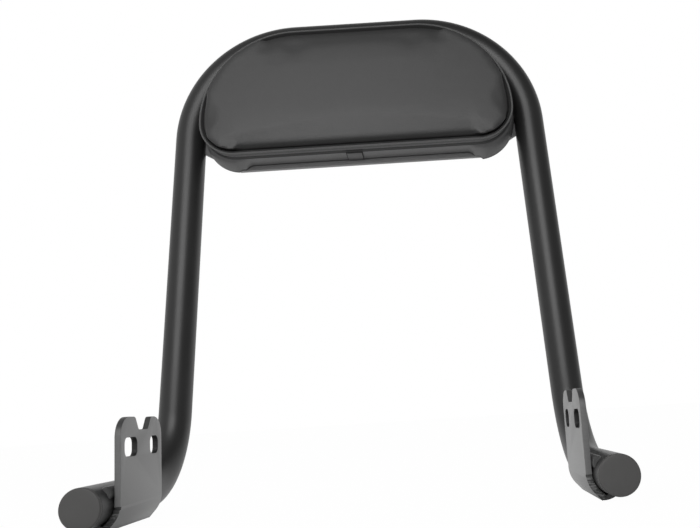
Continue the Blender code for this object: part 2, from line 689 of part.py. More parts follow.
def make_bolt(name, place, hoop, steel):
    """A domed socket-head bolt, from behind the plate into the threaded insert."""
    shank_r, head_r = BOLT_DIAMETER / 2, BOLT_HEAD_DIAMETER / 2
    crown = BOLT_SEAT + BOLT_HEAD_HEIGHT
    tip_chamfer = shank_r * 0.2
    profile = [(0, crown), (head_r * 0.55, crown), (head_r * 0.85, crown - BOLT_HEAD_HEIGHT * 0.3)]
    profile += [(head_r, crown - BOLT_HEAD_HEIGHT * 0.75), (head_r, BOLT_SEAT), (shank_r, BOLT_SEAT)]
    profile += [(shank_r, BOLT_TIP + tip_chamfer), (shank_r - tip_chamfer, BOLT_TIP), (0, BOLT_TIP)]
    bolt = add_object(f"pad_bolt_{name}", turned(profile, 16, facing_back(place)), steel, hoop)
    socket = arc(place, BOLT_SOCKET_ACROSS / math.sqrt(3), 0, math.tau * 5 / 6, 5)
    bm = prism(socket, crown - BOLT_SOCKET_DEPTH, crown + BOLT_SOCKET_DEPTH, hoop_plane)
    cutter = hide_cutter(add_object(f"socket_{name}", bm, steel, hoop))
    boolean(bolt, cutter, "DIFFERENCE")
    return bolt


def make_tee_nut(name, place, hoop, steel):
    """A flanged threaded insert pressed into the board from its front."""
    bore_r = BOLT_DIAMETER / 2 + FIT_GAP
    flange_low = -(BOARD_FRONT + FIT_GAP)
    flange_high = flange_low - TEE_NUT_FLANGE_THICKNESS
    barrel_r, flange_r = TEE_NUT_BARREL / 2, TEE_NUT_FLANGE / 2
    barrel_end = -(BOARD_BACK + TEE_NUT_INSET)
    profile = [(bore_r, flange_high), (flange_r, flange_high), (flange_r, flange_low)]
    profile += [(barrel_r, flange_low), (barrel_r, barrel_end), (bore_r, barrel_end)]
    return add_object(f"tee_nut_{name}", turned_ring(profile, 16, facing_back(place)), steel, hoop)


def main():
    clear_scene()
    coated_steel = make_material("coated_steel", (0.035, 0.036, 0.036), 0.45, 0.0)
    plate_steel = make_material("coated_plate", (0.14, 0.14, 0.14), 0.42, 0.0)
    plastic = make_material("plug_plastic", (0.055, 0.055, 0.05), 0.55, 0.0)
    vinyl = make_material("cover_vinyl", (0.055, 0.058, 0.056), 0.45, 0.0)
    foam = make_material("foam", (0.35, 0.33, 0.28), 0.95, 0.0)
    board = make_material("base_board", (0.3, 0.2, 0.11), 0.8, 0.0)
    zinc = make_material("zinc_steel", (0.45, 0.45, 0.46), 0.35, 1.0)

    hoop = bpy.data.objects.new("hoop_frame", None)
    bpy.context.scene.collection.objects.link(hoop)
    hoop.location = (0, CORNER_Y, FOOT_AXIS_Z)
    hoop.rotation_euler = (-LEG_RECLINE, 0, 0)

    make_hoop_tube(coated_steel)
    for label, side in SIDES:
        make_end_plug(label, side, plastic)
        make_mount_plate(label, side, plate_steel)
        make_groove_weld(label, side, coated_steel)
        make_saddle_weld(label, side, coated_steel)
    make_pad_plate(hoop, coated_steel)
    for label, side in SIDES:
        make_arch_bead(label, side, hoop, coated_steel)
    make_top_bead(hoop, coated_steel)
    make_base_board(hoop, board)
    make_foam_core(hoop, foam)
    make_front_panel(hoop, vinyl)
    make_side_band(hoop, vinyl)
    make_rear_band(hoop, vinyl)
    make_piping(hoop, vinyl)
    make_band_tab(hoop, vinyl)
    for name, place in bolt_places():
        make_washer(name, place, hoop, zinc)
        make_bolt(name, place, hoop, zinc)
        make_tee_nut(name, place, hoop, zinc)


main()
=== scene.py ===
"""Looks of a motorcycle backrest: a bent tube hoop, slotted side plates and an upholstered pad."""
import math

import bmesh
import bpy
from mathutils import Matrix, Vector


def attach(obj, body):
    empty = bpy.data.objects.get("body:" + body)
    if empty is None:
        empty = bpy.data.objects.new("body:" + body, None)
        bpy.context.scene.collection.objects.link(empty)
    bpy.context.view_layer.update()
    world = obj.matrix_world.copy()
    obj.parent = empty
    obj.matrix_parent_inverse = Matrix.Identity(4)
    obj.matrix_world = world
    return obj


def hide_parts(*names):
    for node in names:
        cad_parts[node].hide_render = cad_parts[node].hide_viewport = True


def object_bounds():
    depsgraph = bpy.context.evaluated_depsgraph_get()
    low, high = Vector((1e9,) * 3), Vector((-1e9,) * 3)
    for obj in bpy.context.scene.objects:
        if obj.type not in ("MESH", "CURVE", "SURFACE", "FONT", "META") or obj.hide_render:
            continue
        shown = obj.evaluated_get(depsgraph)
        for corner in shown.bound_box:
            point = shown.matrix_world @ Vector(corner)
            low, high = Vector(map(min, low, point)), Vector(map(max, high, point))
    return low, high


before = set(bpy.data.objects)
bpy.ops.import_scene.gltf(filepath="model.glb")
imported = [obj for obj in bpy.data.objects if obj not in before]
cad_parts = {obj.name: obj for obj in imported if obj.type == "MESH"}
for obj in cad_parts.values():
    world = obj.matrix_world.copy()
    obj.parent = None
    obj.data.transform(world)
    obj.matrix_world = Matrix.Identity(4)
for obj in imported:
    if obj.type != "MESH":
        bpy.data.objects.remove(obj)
cad_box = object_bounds()

MM = 0.001
SIDES = (("left", -1), ("right", 1))

# Hoop tube, as in the part's frame
TUBE_R = 12.7 * MM
TUBE_WALL = 2.0 * MM
TUBE_SIDES = 64
FOOT_AXIS_X = 160.5 * MM
FOOT_AXIS_Z = -34.2 * MM
CORNER_Y = 98.25 * MM
FOOT_LENGTH = 149.0 * MM
LEG_RECLINE = math.radians(4.64)
LEG_SPLAY = math.radians(2.45)
HOOP_HEIGHT = 383.5 * MM
FOOT_BEND_RADIUS = 62.0 * MM
ARCH_BEND_RADIUS = 94.5 * MM
FIT_GAP = 0.3 * MM

# Side plates
PLATE_THICKNESS = 4.0 * MM
PLATE_FRONT = -35.6 * MM
PLATE_REAR = 33.05 * MM
PLATE_TOP = 19.2 * MM
FINGER_ROUND = 13.0 * MM
SLOTS = ((-19.25 * MM, 19.5 * MM), (19.25 * MM, 13.8 * MM))  # middle along Y, and length
SLOT_HEIGHT = 12.0 * MM
SLOT_CORNER = 4.2 * MM
NOTCH_CENTRE = 0.8 * MM
NOTCH_DEPTH = 8.4 * MM
NOTCH_TOP_WIDTH = 26.0 * MM
NOTCH_BOTTOM_WIDTH = 15.0 * MM
SADDLE_ANGLE = math.radians(42)  # of the bend round the tube
SADDLE_TAB = 6.8 * MM  # the straight tab after the bend
RELIEF_DEPTH = 1.4 * MM
RELIEF_HEIGHT = 1.8 * MM
LEFT_RELIEF_DROP = 1.7 * MM  # the left slit lies lower than the right one
WEB_OUTER_X = TUBE_R + FIT_GAP - FOOT_AXIS_X  # of the left plate
WEB_MIDDLE_X = WEB_OUTER_X + PLATE_THICKNESS / 2

# Pad, in the hoop's own plane
PAD_HALF_WIDTH = 131.55 * MM
PAD_BOTTOM = 265.8 * MM
PAD_TOP = 375.6 * MM
PAD_LOWER_RADIUS = 29.0 * MM
PAD_UPPER_RADIUS = 80.4 * MM
FRONT_SEAM = 28.0 * MM
REAR_SEAM = 18.0 * MM
SEAM_GAP = 0.15 * MM
PIPING_R = 0.8 * MM
VINYL = 1.2 * MM
CUSHION_RIM = 2.8 * MM  # the padded front's outline, in from the piping
CUSHION_SWELL = 0.7 * MM  # the most that the cloth may move
TAB_CENTRE_X = -4.0 * MM
TAB_CENTRE_Y = -9.75 * MM
TAB_WIDTH = 14.0 * MM
TAB_LENGTH = 13.5 * MM
TAB_THICKNESS = 1.6 * MM

# Pad plate and its fasteners
PAD_PLATE_THICKNESS = 4.0 * MM
PAD_PLATE_BOTTOM = 262.0 * MM
PAD_PLATE_SHOULDER = 280.0 * MM
PAD_PLATE_CORNER_WIDTH = 30.5 * MM
BOLT_HALF_SPAN = 62.0 * MM
BOLT_ROWS = (292.0 * MM, 346.0 * MM)
BOLT_HOLE_R = 3.3 * MM
BOLT_R = 3.0 * MM
BOLT_LENGTH = 16.0 * MM
BOLT_HEAD_R = 5.5 * MM
BOLT_HEAD_HEIGHT = 3.3 * MM
WASHER_R = 8.0 * MM
WASHER_THICKNESS = 1.5 * MM

# For telling whether a point lies at a place
NEAR = 0.01 * MM

HOOP_FRAME = Matrix.Translation((0, CORNER_Y, FOOT_AXIS_Z)) @ Matrix.Rotation(-LEG_RECLINE, 4, "X")


# Working in edit mode


def alone(obj):
    """Selects one object and nothing else."""
    if bpy.context.object and bpy.context.object.mode != "OBJECT":
        bpy.ops.object.mode_set(mode="OBJECT")
    bpy.ops.object.select_all(action="DESELECT")
    obj.select_set(True)
    bpy.context.view_layer.objects.active = obj


def added(name):
    """Names the primitive that was just added and puts its place into its mesh."""
    obj = bpy.context.object
    obj.name = name
    obj.data.name = name
    alone(obj)
    bpy.ops.object.transform_apply(location=True, rotation=True, scale=True)
    return obj


def edit(obj, kind):
    """Opens an object in edit mode with nothing selected."""
    alone(obj)
    bpy.ops.object.mode_set(mode="EDIT")
    bpy.ops.mesh.select_mode(type=kind)
    bpy.ops.mesh.select_all(action="DESELECT")


def done():
    bpy.ops.object.mode_set(mode="OBJECT")


def cylinder(name, sides, radius, depth, place):
    """A cylinder along Y, with its middle at the place."""
    bpy.ops.mesh.primitive_cylinder_add(
        vertices=sides, radius=radius, depth=depth, location=place, rotation=(math.pi / 2, 0, 0)
    )
    return added(name)


def upright_face(name, half_width, low, high, y=0):
    """A rectangle across the object, from one height to another."""
    bpy.ops.mesh.primitive_plane_add(size=1, location=(0, y, (low + high) / 2), rotation=(math.pi / 2, 0, 0))
    bpy.context.object.scale = (2 * half_width, high - low, 1)
    return added(name)


def pick(obj, kind, test):
    """Selects, in edit mode, the edges or faces that pass the test, or the vertices whose places do."""
    bpy.ops.mesh.select_mode(type=kind)
    bpy.ops.mesh.select_all(action="DESELECT")
    bm = bmesh.from_edit_mesh(obj.data)
    if kind == "VERT":
        for vert in bm.verts:
            vert.select = test(vert.co)
    elif kind == "EDGE":
        for edge in bm.edges:
            if test(edge):
                edge.select_set(True)
    else:
        for face in bm.faces:
            if test(face):
                face.select_set(True)
    bm.select_flush_mode()
    bmesh.update_edit_mesh(obj.data)


def middle(edge):
    return (edge.verts[0].co + edge.verts[1].co) / 2


def along_x(edge):
    step = edge.verts[1].co - edge.verts[0].co
    return abs(step.x) > 0.99 * step.length


def apply_all(obj):
    alone(obj)
    for modifier in list(obj.modifiers):
        bpy.ops.object.modifier_apply(modifier=modifier.name)


def cut(obj, tool):
    """Takes the tool's shape away from the object, and then throws the tool away."""
    modifier = obj.modifiers.new("cut", "BOOLEAN")
    modifier.operation = "DIFFERENCE"
    modifier.object = tool
    modifier.solver = "EXACT"
    apply_all(obj)
    bpy.data.objects.remove(tool, do_unlink=True)


def thicken(obj, thickness, offset=-1.0, even=False):
    """Gives a sheet its wall. An offset of -1 puts the wall inside, and 1 outside."""
    modifier = obj.modifiers.new("wall", "SOLIDIFY")
    modifier.thickness = thickness
    modifier.offset = offset
    modifier.use_even_offset = even
    apply_all(obj)


def bevel_edges(obj, width, segments, angle=30):
    modifier = obj.modifiers.new("edges", "BEVEL")
    modifier.width = width
    modifier.segments = segments
    modifier.limit_method = "ANGLE"
    modifier.angle_limit = math.radians(angle)
    apply_all(obj)


def recalculate(obj):
    edit(obj, "FACE")
    bpy.ops.mesh.select_all(action="SELECT")
    bpy.ops.mesh.normals_make_consistent(inside=False)
    done()


def smooth(obj, angle):
    alone(obj)
    bpy.ops.object.shade_smooth_by_angle(angle=math.radians(angle))


def into_hoop(obj):
    """Puts a piece that was modelled in the hoop's own plane in its place."""
    alone(obj)
    obj.matrix_world = HOOP_FRAME
    bpy.ops.object.transform_apply(location=True, rotation=True, scale=True)


def copied(source, name, offset=(0, 0, 0)):
    """A copy with a mesh of its own, moved by the offset."""
    alone(source)
    bpy.ops.object.duplicate()
    bpy.context.object.location = offset
    return added(name)


def mirrored(source, name):
    """A copy for the other side of the middle plane."""
    twin = copied(source, name)
    edit(twin, "FACE")
    bpy.ops.mesh.select_all(action="SELECT")
    bpy.ops.transform.resize(value=(-1, 1, 1), center_override=(0, 0, 0))
    bpy.ops.mesh.normals_make_consistent(inside=False)
    done()
    return twin


def finish_pair(left, name, material, slot, node):
    """Mirrors the left piece for the right side, and finishes both."""
    right = mirrored(left, f"{name}_right")
    finish_piece(left, material, slot, f"{node}_left")
    finish_piece(right, material, slot, f"{node}_right")


def finish_piece(obj, material, slot, *nodes):
    obj.data.materials.clear()
    obj.data.materials.append(material)
    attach(obj, "root")
    if nodes:
        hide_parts(*nodes)


# Shader sums


class Number:
    """A number in a material. Each operator adds one Math node."""

    def __init__(self, nodes, socket):
        self.nodes = nodes
        self.socket = socket

    def __add__(self, other):
        return self.nodes.sum("ADD", self, other)

    def __sub__(self, other):
        return self.nodes.sum("SUBTRACT", self, other)

    def __rsub__(self, other):
        return self.nodes.sum("SUBTRACT", other, self)

    def __mul__(self, other):
        return self.nodes.sum("MULTIPLY", self, other)

    def __abs__(self):
        return self.nodes.sum("ABSOLUTE", self, 0.0)

    __radd__ = __add__
    __rmul__ = __mul__


class Nodes:
    """Makes and links the nodes of one material or of the world."""

    def __init__(self, tree):
        self.tree = tree

    def feed(self, socket, value):
        if isinstance(value, Number):
            value = value.socket
        if isinstance(value, bpy.types.NodeSocket):
            self.tree.links.new(value, socket)
        else:
            socket.default_value = value

    def node(self, kind, settings=None, sockets=None):
        """One node: its settings first, then the values or links of its sockets."""
        made = self.tree.nodes.new(kind)
        for label, value in (settings or {}).items():
            setattr(made, label, value)
        for key, value in (sockets or {}).items():
            self.feed(made.inputs[key], value)
        return made

    def sum(self, operation, first, second):
        made = self.node("ShaderNodeMath", {"operation": operation}, {0: first, 1: second})
        return Number(self, made.outputs[0])

    def vector(self, operation, first, second):
        return self.node("ShaderNodeVectorMath", {"operation": operation}, {0: first, 1: second}).outputs[0]

    def parts(self, vector):
        made = self.node("ShaderNodeSeparateXYZ", None, {0: vector})
        return [Number(self, socket) for socket in made.outputs]

    def noise(self, place, scale, detail=2.0, roughness=0.5):
        sockets = {"Vector": place, "Scale": scale, "Detail": detail, "Roughness": roughness}
        return Number(self, self.node("ShaderNodeTexNoise", None, sockets).outputs["Fac"])

    def cells(self, place, scale):
        sockets = {"Vector": place, "Scale": scale}
        made = self.node("ShaderNodeTexVoronoi", {"feature": "DISTANCE_TO_EDGE"}, sockets)
        return Number(self, made.outputs["Distance"])

    def step(self, value, low, high):
        """0 below low, 1 above high, and a soft change between."""
        sockets = {"Value": value, "From Min": low, "From Max": high}
        made = self.node("ShaderNodeMapRange", {"interpolation_type": "SMOOTHSTEP"}, sockets)
        return Number(self, made.outputs[0])

    def mix(self, factor, first, second):
        return self.node("ShaderNodeMix", {"data_type": "RGBA"}, {0: factor, 6: first, 7: second}).outputs[2]


class Paint(Nodes):
    """One material: a Principled BSDF and the nodes that feed it."""

    def __init__(self, name, metallic=0.0):
        self.material = bpy.data.materials.new(name)
        self.material.use_nodes = True
        super().__init__(self.material.node_tree)
        self.shader = self.tree.nodes["Principled BSDF"]
        self.shader.inputs["Metallic"].default_value = metallic
        self.place = self.node("ShaderNodeTexCoord").outputs["Object"]

    def scaled(self, x, y, z):
        """The place, with the pattern drawn finer along each axis by its own factor."""
        return self.node("ShaderNodeMapping", None, {"Vector": self.place, "Scale": (x, y, z)}).outputs[0]

    def colour(self, value):
        self.feed(self.shader.inputs["Base Color"], value)

    def rough(self, value):
        self.feed(self.shader.inputs["Roughness"], value)

    def bump(self, height, strength, distance):
        sockets = {"Strength": strength, "Distance": distance, "Height": height}
        self.feed(self.shader.inputs["Normal"], self.node("ShaderNodeBump", None, sockets).outputs["Normal"])


def grey(level, warm=0.0):
    return (level * (1 + warm), level, level * (1 - warm), 1)


def powder_coat():
    """Satin black coat of the hoop: faint orange peel and cloudy gloss."""
    paint = Paint("satin_black_powder_coat")
    clouds = paint.noise(paint.place, 38, 3)
    peel = paint.noise(paint.place, 900)
    paint.colour(paint.mix(clouds, grey(0.010), grey(0.014)))
    paint.rough(peel * 0.1 + 0.32 + clouds * 0.06)
    paint.bump(peel, 0.12, 0.15 * MM)
    return paint.material


def plate_coat():
    """Coat of the side plates, painted far greyer than the hoop's black coat: painted light. Dark on the cut
    edges, and darkest in the slots and notch: painted shade.
    """
    paint = Paint("satin_plate_coat_painted_light_and_shade")
    sideways = paint.parts(paint.node("ShaderNodeTexCoord").outputs["Normal"])[0]
    _, y, z = paint.parts(paint.place)
    clouds = paint.noise(paint.place, 45, 3)
    rough_cut = paint.noise(paint.scaled(150, 150, 900), 1, 3, 0.7)
    cut_edge = 1 - paint.step(abs(sideways), 0.60, 0.72)
    # Painted shade: the cut edges behind the front edge, in the notch, the slots, round the fingers and at
    # the back, are painted dark.
    inner_cut_painted_shade = paint.step(y, PLATE_FRONT + 0.3 * MM, PLATE_FRONT + 2.2 * MM)
    lower_cut = 1 - paint.step(z, FOOT_AXIS_Z - 3 * MM, FOOT_AXIS_Z - 1 * MM)
    # Painted shade: the slot walls are painted darkest, for the shade deep inside the slots.
    slot_painted_shade = inner_cut_painted_shade * (1 - paint.step(abs(z), SLOT_HEIGHT / 2, SLOT_HEIGHT / 2 + 1.5 * MM))
    # Painted light: the faces, and the front edges below, are painted far lighter greys than the hoop's black
    # coat, for the light the plates catch.
    face = paint.mix(clouds, grey(0.165), grey(0.195))
    edge = paint.mix(rough_cut, grey(0.09), grey(0.13))
    edge = paint.mix(lower_cut, edge, paint.mix(paint.step(rough_cut, 0.48, 0.68), grey(0.02), grey(0.16)))
    edge = paint.mix(inner_cut_painted_shade * 0.85, edge, grey(0.02))
    edge = paint.mix(slot_painted_shade, edge, grey(0.006))
    paint.colour(paint.mix(cut_edge, face, edge))
    peel = paint.noise(paint.place, 1100)
    paint.rough(peel * 0.1 + 0.34 + clouds * 0.06 + cut_edge * 0.12)
    paint.bump(peel + rough_cut * cut_edge, 0.1, 0.12 * MM)
    return paint.material


def pad_plate_coat():
    """The pad plate's coat, as grey as the side plates' edges."""
    paint = Paint("satin_pad_plate_coat")
    clouds = paint.noise(paint.place, 45, 3)
    peel = paint.noise(paint.place, 1100)
    paint.colour(paint.mix(clouds, grey(0.13), grey(0.16)))
    paint.rough(peel * 0.1 + 0.36)
    paint.bump(peel, 0.1, 0.12 * MM)
    return paint.material


def weld_coat():
    """The hoop's coat over weld metal, with the beads' fine ripple left in it."""
    paint = Paint("coated_weld")
    clouds = paint.noise(paint.place, 300, 3)
    paint.colour(paint.mix(clouds, grey(0.03), grey(0.065)))
    paint.rough(clouds * 0.2 + 0.3)
    paint.bump(paint.noise(paint.place, 1400), 0.3, 0.2 * MM)
    return paint.material


def plug_plastic():
    """Matt moulded plastic with a fine grain and faint handling marks."""
    paint = Paint("matt_plug_plastic")
    clouds = paint.noise(paint.place, 60, 3)
    grain = paint.noise(paint.place, 2600)
    paint.colour(paint.mix(clouds, grey(0.042, 0.02), grey(0.058, 0.02)))
    paint.rough(grain * 0.15 + 0.5)
    paint.bump(grain, 0.25, 0.08 * MM)
    return paint.material


def upholstery(name, dark, light):
    """Fine-grained vinyl: pebbles, cloudy wear, puckers at the lower seam, painted shade in the crease round
    the front panel and along the rear edge, and a dark line along the rear seam.
    """
    paint = Paint(name)
    _, y, z = paint.parts(paint.place)
    ahead = (CORNER_Y - y) * math.cos(LEG_RECLINE) + (z - FOOT_AXIS_Z) * math.sin(LEG_RECLINE)
    clouds = paint.noise(paint.place, 24, 4, 0.6)
    past_seam = paint.step(ahead, FRONT_SEAM + 0.5 * MM, FRONT_SEAM + 1.0 * MM)
    # Painted shade: the vinyl is painted darker for 6 mm ahead of the front seam, in the crease round the
    # padded front.
    crease_painted_shade = (1 - paint.step(ahead, FRONT_SEAM + 0.5 * MM, FRONT_SEAM + 6 * MM)) * past_seam
    seam = 1 - paint.step(abs(ahead - REAR_SEAM), 0.3 * MM, 0.9 * MM)
    # Painted shade: the vinyl is painted near black along its back edge, in the gap at the pad plate.
    rear_edge_painted_shade = 1 - paint.step(ahead, 0.8 * MM, 2.4 * MM)
    skin = paint.mix(clouds, grey(dark), grey(light))
    paint.colour(paint.mix(crease_painted_shade * 0.8 + seam * 0.85 + rear_edge_painted_shade * 0.9, skin, grey(0.004)))
    wobble = paint.node("ShaderNodeTexNoise", None, {"Vector": paint.place, "Scale": 900.0}).outputs["Color"]
    sockets = {0: wobble, "Scale": 0.4 * MM}
    small = paint.node("ShaderNodeVectorMath", {"operation": "SCALE"}, sockets).outputs[0]
    pebbles = paint.step(paint.cells(paint.vector("ADD", paint.place, small), 1050), 0.0, 0.16)
    pores = paint.noise(paint.place, 3200)
    puckers = paint.noise(paint.scaled(75, 8, 8), 1) * (1 - paint.step(z, 225 * MM, 262 * MM))
    paint.rough(clouds * 0.08 + 0.38 + (1 - pebbles) * 0.15)
    paint.bump(pebbles + pores * 0.25 + puckers * 6, 0.3, 0.1 * MM)
    return paint.material


def tab_vinyl():
    """The tab's vinyl, dark along its sewn sides."""
    paint = Paint("tab_vinyl_grain")
    x = paint.parts(paint.place)[0]
    clouds = paint.noise(paint.place, 60, 3)
    side = paint.step(abs(x - TAB_CENTRE_X), TAB_WIDTH / 2 - 0.9 * MM, TAB_WIDTH / 2 - 0.4 * MM)
    paint.colour(paint.mix(side, paint.mix(clouds, grey(0.03), grey(0.045)), grey(0.003)))
    paint.rough(clouds * 0.1 + 0.4 + side * 0.4)
    paint.bump(paint.noise(paint.place, 1600), 0.3, 0.1 * MM)
    return paint.material


def zinc():
    paint = Paint("zinc_plate", metallic=1.0)
    clouds = paint.noise(paint.place, 160, 3)
    paint.colour(paint.mix(clouds, grey(0.42), grey(0.56, 0.02)))
    paint.rough(clouds * 0.2 + 0.25)
    paint.bump(paint.noise(paint.place, 2400), 0.1, 0.05 * MM)
    return paint.material


def plywood():
    paint = Paint("plywood_board")
    grain = paint.noise(paint.scaled(20, 300, 400), 1, 4, 0.6)
    paint.colour(paint.mix(grain, (0.22, 0.13, 0.06, 1), (0.42, 0.28, 0.15, 1)))
    paint.rough(grain * 0.2 + 0.65)
    paint.bump(grain, 0.3, 0.2 * MM)
    return paint.material


COAT = powder_coat()
PLATE_COAT = plate_coat()
PAD_PLATE_COAT = pad_plate_coat()
WELD_COAT = weld_coat()
PLUG = plug_plastic()
COVER = upholstery("cover_vinyl_grain", 0.026, 0.036)
# Painted reflection: the rear band's vinyl is a much lighter copy of the cover vinyl, for the bright grazing
# reflection the band shows.
REAR_COVER_PAINTED_LIGHT = upholstery("rear_band_vinyl_painted_light", 0.085, 0.11)
# Painted highlight: the piping's vinyl is a lighter copy of the cover vinyl, for the highlight along the
# cord.
PIPING_PAINTED_HIGHLIGHT = upholstery("piping_vinyl_painted_highlight", 0.08, 0.11)
TAB = tab_vinyl()
ZINC = zinc()
PLYWOOD = plywood()


# Hoop tube


def leg_direction(side):
    flat = Vector((-side * math.sin(LEG_SPLAY), 0, math.cos(LEG_SPLAY)))
    return Matrix.Rotation(-LEG_RECLINE, 3, "X") @ flat


def foot_end(side):
    return Vector((side * FOOT_AXIS_X, CORNER_Y - FOOT_LENGTH, FOOT_AXIS_Z))


def bend_tube(end, direction, turned, radius, steps):
    """Spins the selected open end round, and returns where its middle comes to."""
    turn = direction.angle(turned)
    axis = direction.cross(turned).normalized()
    centre = end + axis.cross(direction) * radius
    bpy.ops.mesh.spin(steps=steps, angle=-turn, center=centre, axis=axis)
    return end + (direction + turned) * radius * math.tan(turn / 2)


def draw_tube(end, direction, length):
    """Extrudes the selected open end straight on."""
    bpy.ops.mesh.extrude_edges_move(TRANSFORM_OT_translate={"value": direction * length})
    return end + direction * length


def make_hoop():
    along, across = Vector((0, 1, 0)), Vector((1, 0, 0))
    leg_up, leg_down = leg_direction(-1), -leg_direction(1)
    foot_tangent = FOOT_BEND_RADIUS * math.tan(along.angle(leg_up) / 2)
    arch_tangent = ARCH_BEND_RADIUS * math.tan(leg_up.angle(across) / 2)
    leg_length = HOOP_HEIGHT / math.cos(LEG_SPLAY) - foot_tangent - arch_tangent
    top_length = 2 * (FOOT_AXIS_X - HOOP_HEIGHT * math.tan(LEG_SPLAY) - arch_tangent)
    start = foot_end(-1)
    bpy.ops.mesh.primitive_circle_add(
        vertices=TUBE_SIDES, radius=TUBE_R, location=start, rotation=(-math.pi / 2, 0, 0)
    )
    hoop = added("bent_hoop")
    edit(hoop, "EDGE")
    bpy.ops.mesh.select_all(action="SELECT")
    end = draw_tube(start, along, FOOT_LENGTH - foot_tangent)
    end = bend_tube(end, along, leg_up, FOOT_BEND_RADIUS, 28)
    end = draw_tube(end, leg_up, leg_length)
    end = bend_tube(end, leg_up, across, ARCH_BEND_RADIUS, 40)
    end = draw_tube(end, across, top_length)
    end = bend_tube(end, across, leg_down, ARCH_BEND_RADIUS, 40)
    end = draw_tube(end, leg_down, leg_length)
    end = bend_tube(end, leg_down, -along, FOOT_BEND_RADIUS, 28)
    draw_tube(end, -along, FOOT_LENGTH - foot_tangent)
    done()
    recalculate(hoop)
    thicken(hoop, TUBE_WALL, even=True)
    smooth(hoop, 50)
    finish_piece(hoop, COAT, "hoop_coating", "hoop_tube")


def make_plugs():
    """Push-in plugs: a flush head with a soft rim, and a ribbed shank inside the tube."""
    head, rim, shank_length, ribs = 2.7 * MM, 0.9 * MM, 15.0 * MM, 3
    rib_swell = 1.09
    end = foot_end(-1)
    plug = cylinder("foot_plug_left", 96, TUBE_R, head, end + Vector((0, -FIT_GAP - head / 2, 0)))
    front_y, back_y = end.y - FIT_GAP - head, end.y - FIT_GAP
    edit(plug, "EDGE")
    pick(plug, "EDGE", lambda edge: all(abs(v.co.y - front_y) < NEAR for v in edge.verts))
    bpy.ops.mesh.bevel(offset=rim, segments=5, affect="EDGES", profile=0.5)
    pick(plug, "FACE", lambda face: abs(face.calc_center_median().y - front_y) < NEAR)
    for thickness, depth in ((1.2, 0.1), (2.5, 0.12), (3.5, 0.08)):
        bpy.ops.mesh.inset(thickness=thickness * MM, depth=depth * MM)
    pick(plug, "FACE", lambda face: len(face.verts) > 4 and abs(face.calc_center_median().y - back_y) < NEAR)
    bpy.ops.mesh.inset(thickness=TUBE_WALL + 1.2 * MM, depth=0)
    rib_pitch = shank_length / ribs
    for _ in range(ribs):
        bpy.ops.mesh.extrude_region_move(TRANSFORM_OT_translate={"value": (0, rib_pitch * 0.3, 0)})
        bpy.ops.mesh.extrude_region_move(TRANSFORM_OT_translate={"value": (0, rib_pitch * 0.1, 0)})
        bpy.ops.transform.resize(value=(rib_swell, 1, rib_swell), center_override=end)
        bpy.ops.mesh.extrude_region_move(TRANSFORM_OT_translate={"value": (0, rib_pitch * 0.6, 0)})
        bpy.ops.transform.resize(value=(1 / rib_swell, 1, 1 / rib_swell), center_override=end)
    done()
    recalculate(plug)
    smooth(plug, 40)
    finish_pair(plug, "foot_plug", PLUG, "plug_plastic", "end_plug")


# Side plates


def slot_tool(centre_y, length):
    """A block with rounded long edges, for a bolt slot."""
    bpy.ops.mesh.primitive_cube_add(size=1, location=(WEB_MIDDLE_X, centre_y, 0))
    bpy.context.object.scale = (3 * PLATE_THICKNESS, length, SLOT_HEIGHT)
    tool = added("slot_tool")
    edit(tool, "EDGE")
    pick(tool, "EDGE", along_x)
    bpy.ops.mesh.bevel(offset=SLOT_CORNER, segments=10, affect="EDGES", profile=0.5)
    done()
    return tool


def notch_tool():
    """A block that narrows downwards, for the notch between the fingers."""
    height = 2 * NOTCH_DEPTH
    floor_z = PLATE_TOP - NOTCH_DEPTH
    bpy.ops.mesh.primitive_cube_add(size=1, location=(WEB_MIDDLE_X, NOTCH_CENTRE, floor_z + height / 2))
    bpy.context.object.scale = (3 * PLATE_THICKNESS, NOTCH_BOTTOM_WIDTH, height)
    tool = added("notch_tool")
    edit(tool, "VERT")
    pick(tool, "VERT", lambda co: co.z > PLATE_TOP)
    spread = NOTCH_BOTTOM_WIDTH + (NOTCH_TOP_WIDTH - NOTCH_BOTTOM_WIDTH) / NOTCH_DEPTH * height
    bpy.ops.transform.resize(value=(1, spread / NOTCH_BOTTOM_WIDTH, 1), center_override=(0, NOTCH_CENTRE, 0))
    pick(tool, "EDGE", lambda edge: along_x(edge) and middle(edge).z < floor_z + NEAR)
    bpy.ops.mesh.bevel(offset=1.5 * MM, segments=6, affect="EDGES", profile=0.5)
    done()
    return tool


def relief_tool(side, drop):
    """A small block for the slit in the front edge, where the bend round the tube begins."""
    middle_z = FOOT_AXIS_Z - RELIEF_HEIGHT / 2 - drop
    bpy.ops.mesh.primitive_cube_add(size=1, location=(-side * WEB_MIDDLE_X, PLATE_FRONT, middle_z))
    bpy.context.object.scale = (3 * PLATE_THICKNESS, 2 * RELIEF_DEPTH, RELIEF_HEIGHT)
    return added("relief_tool")


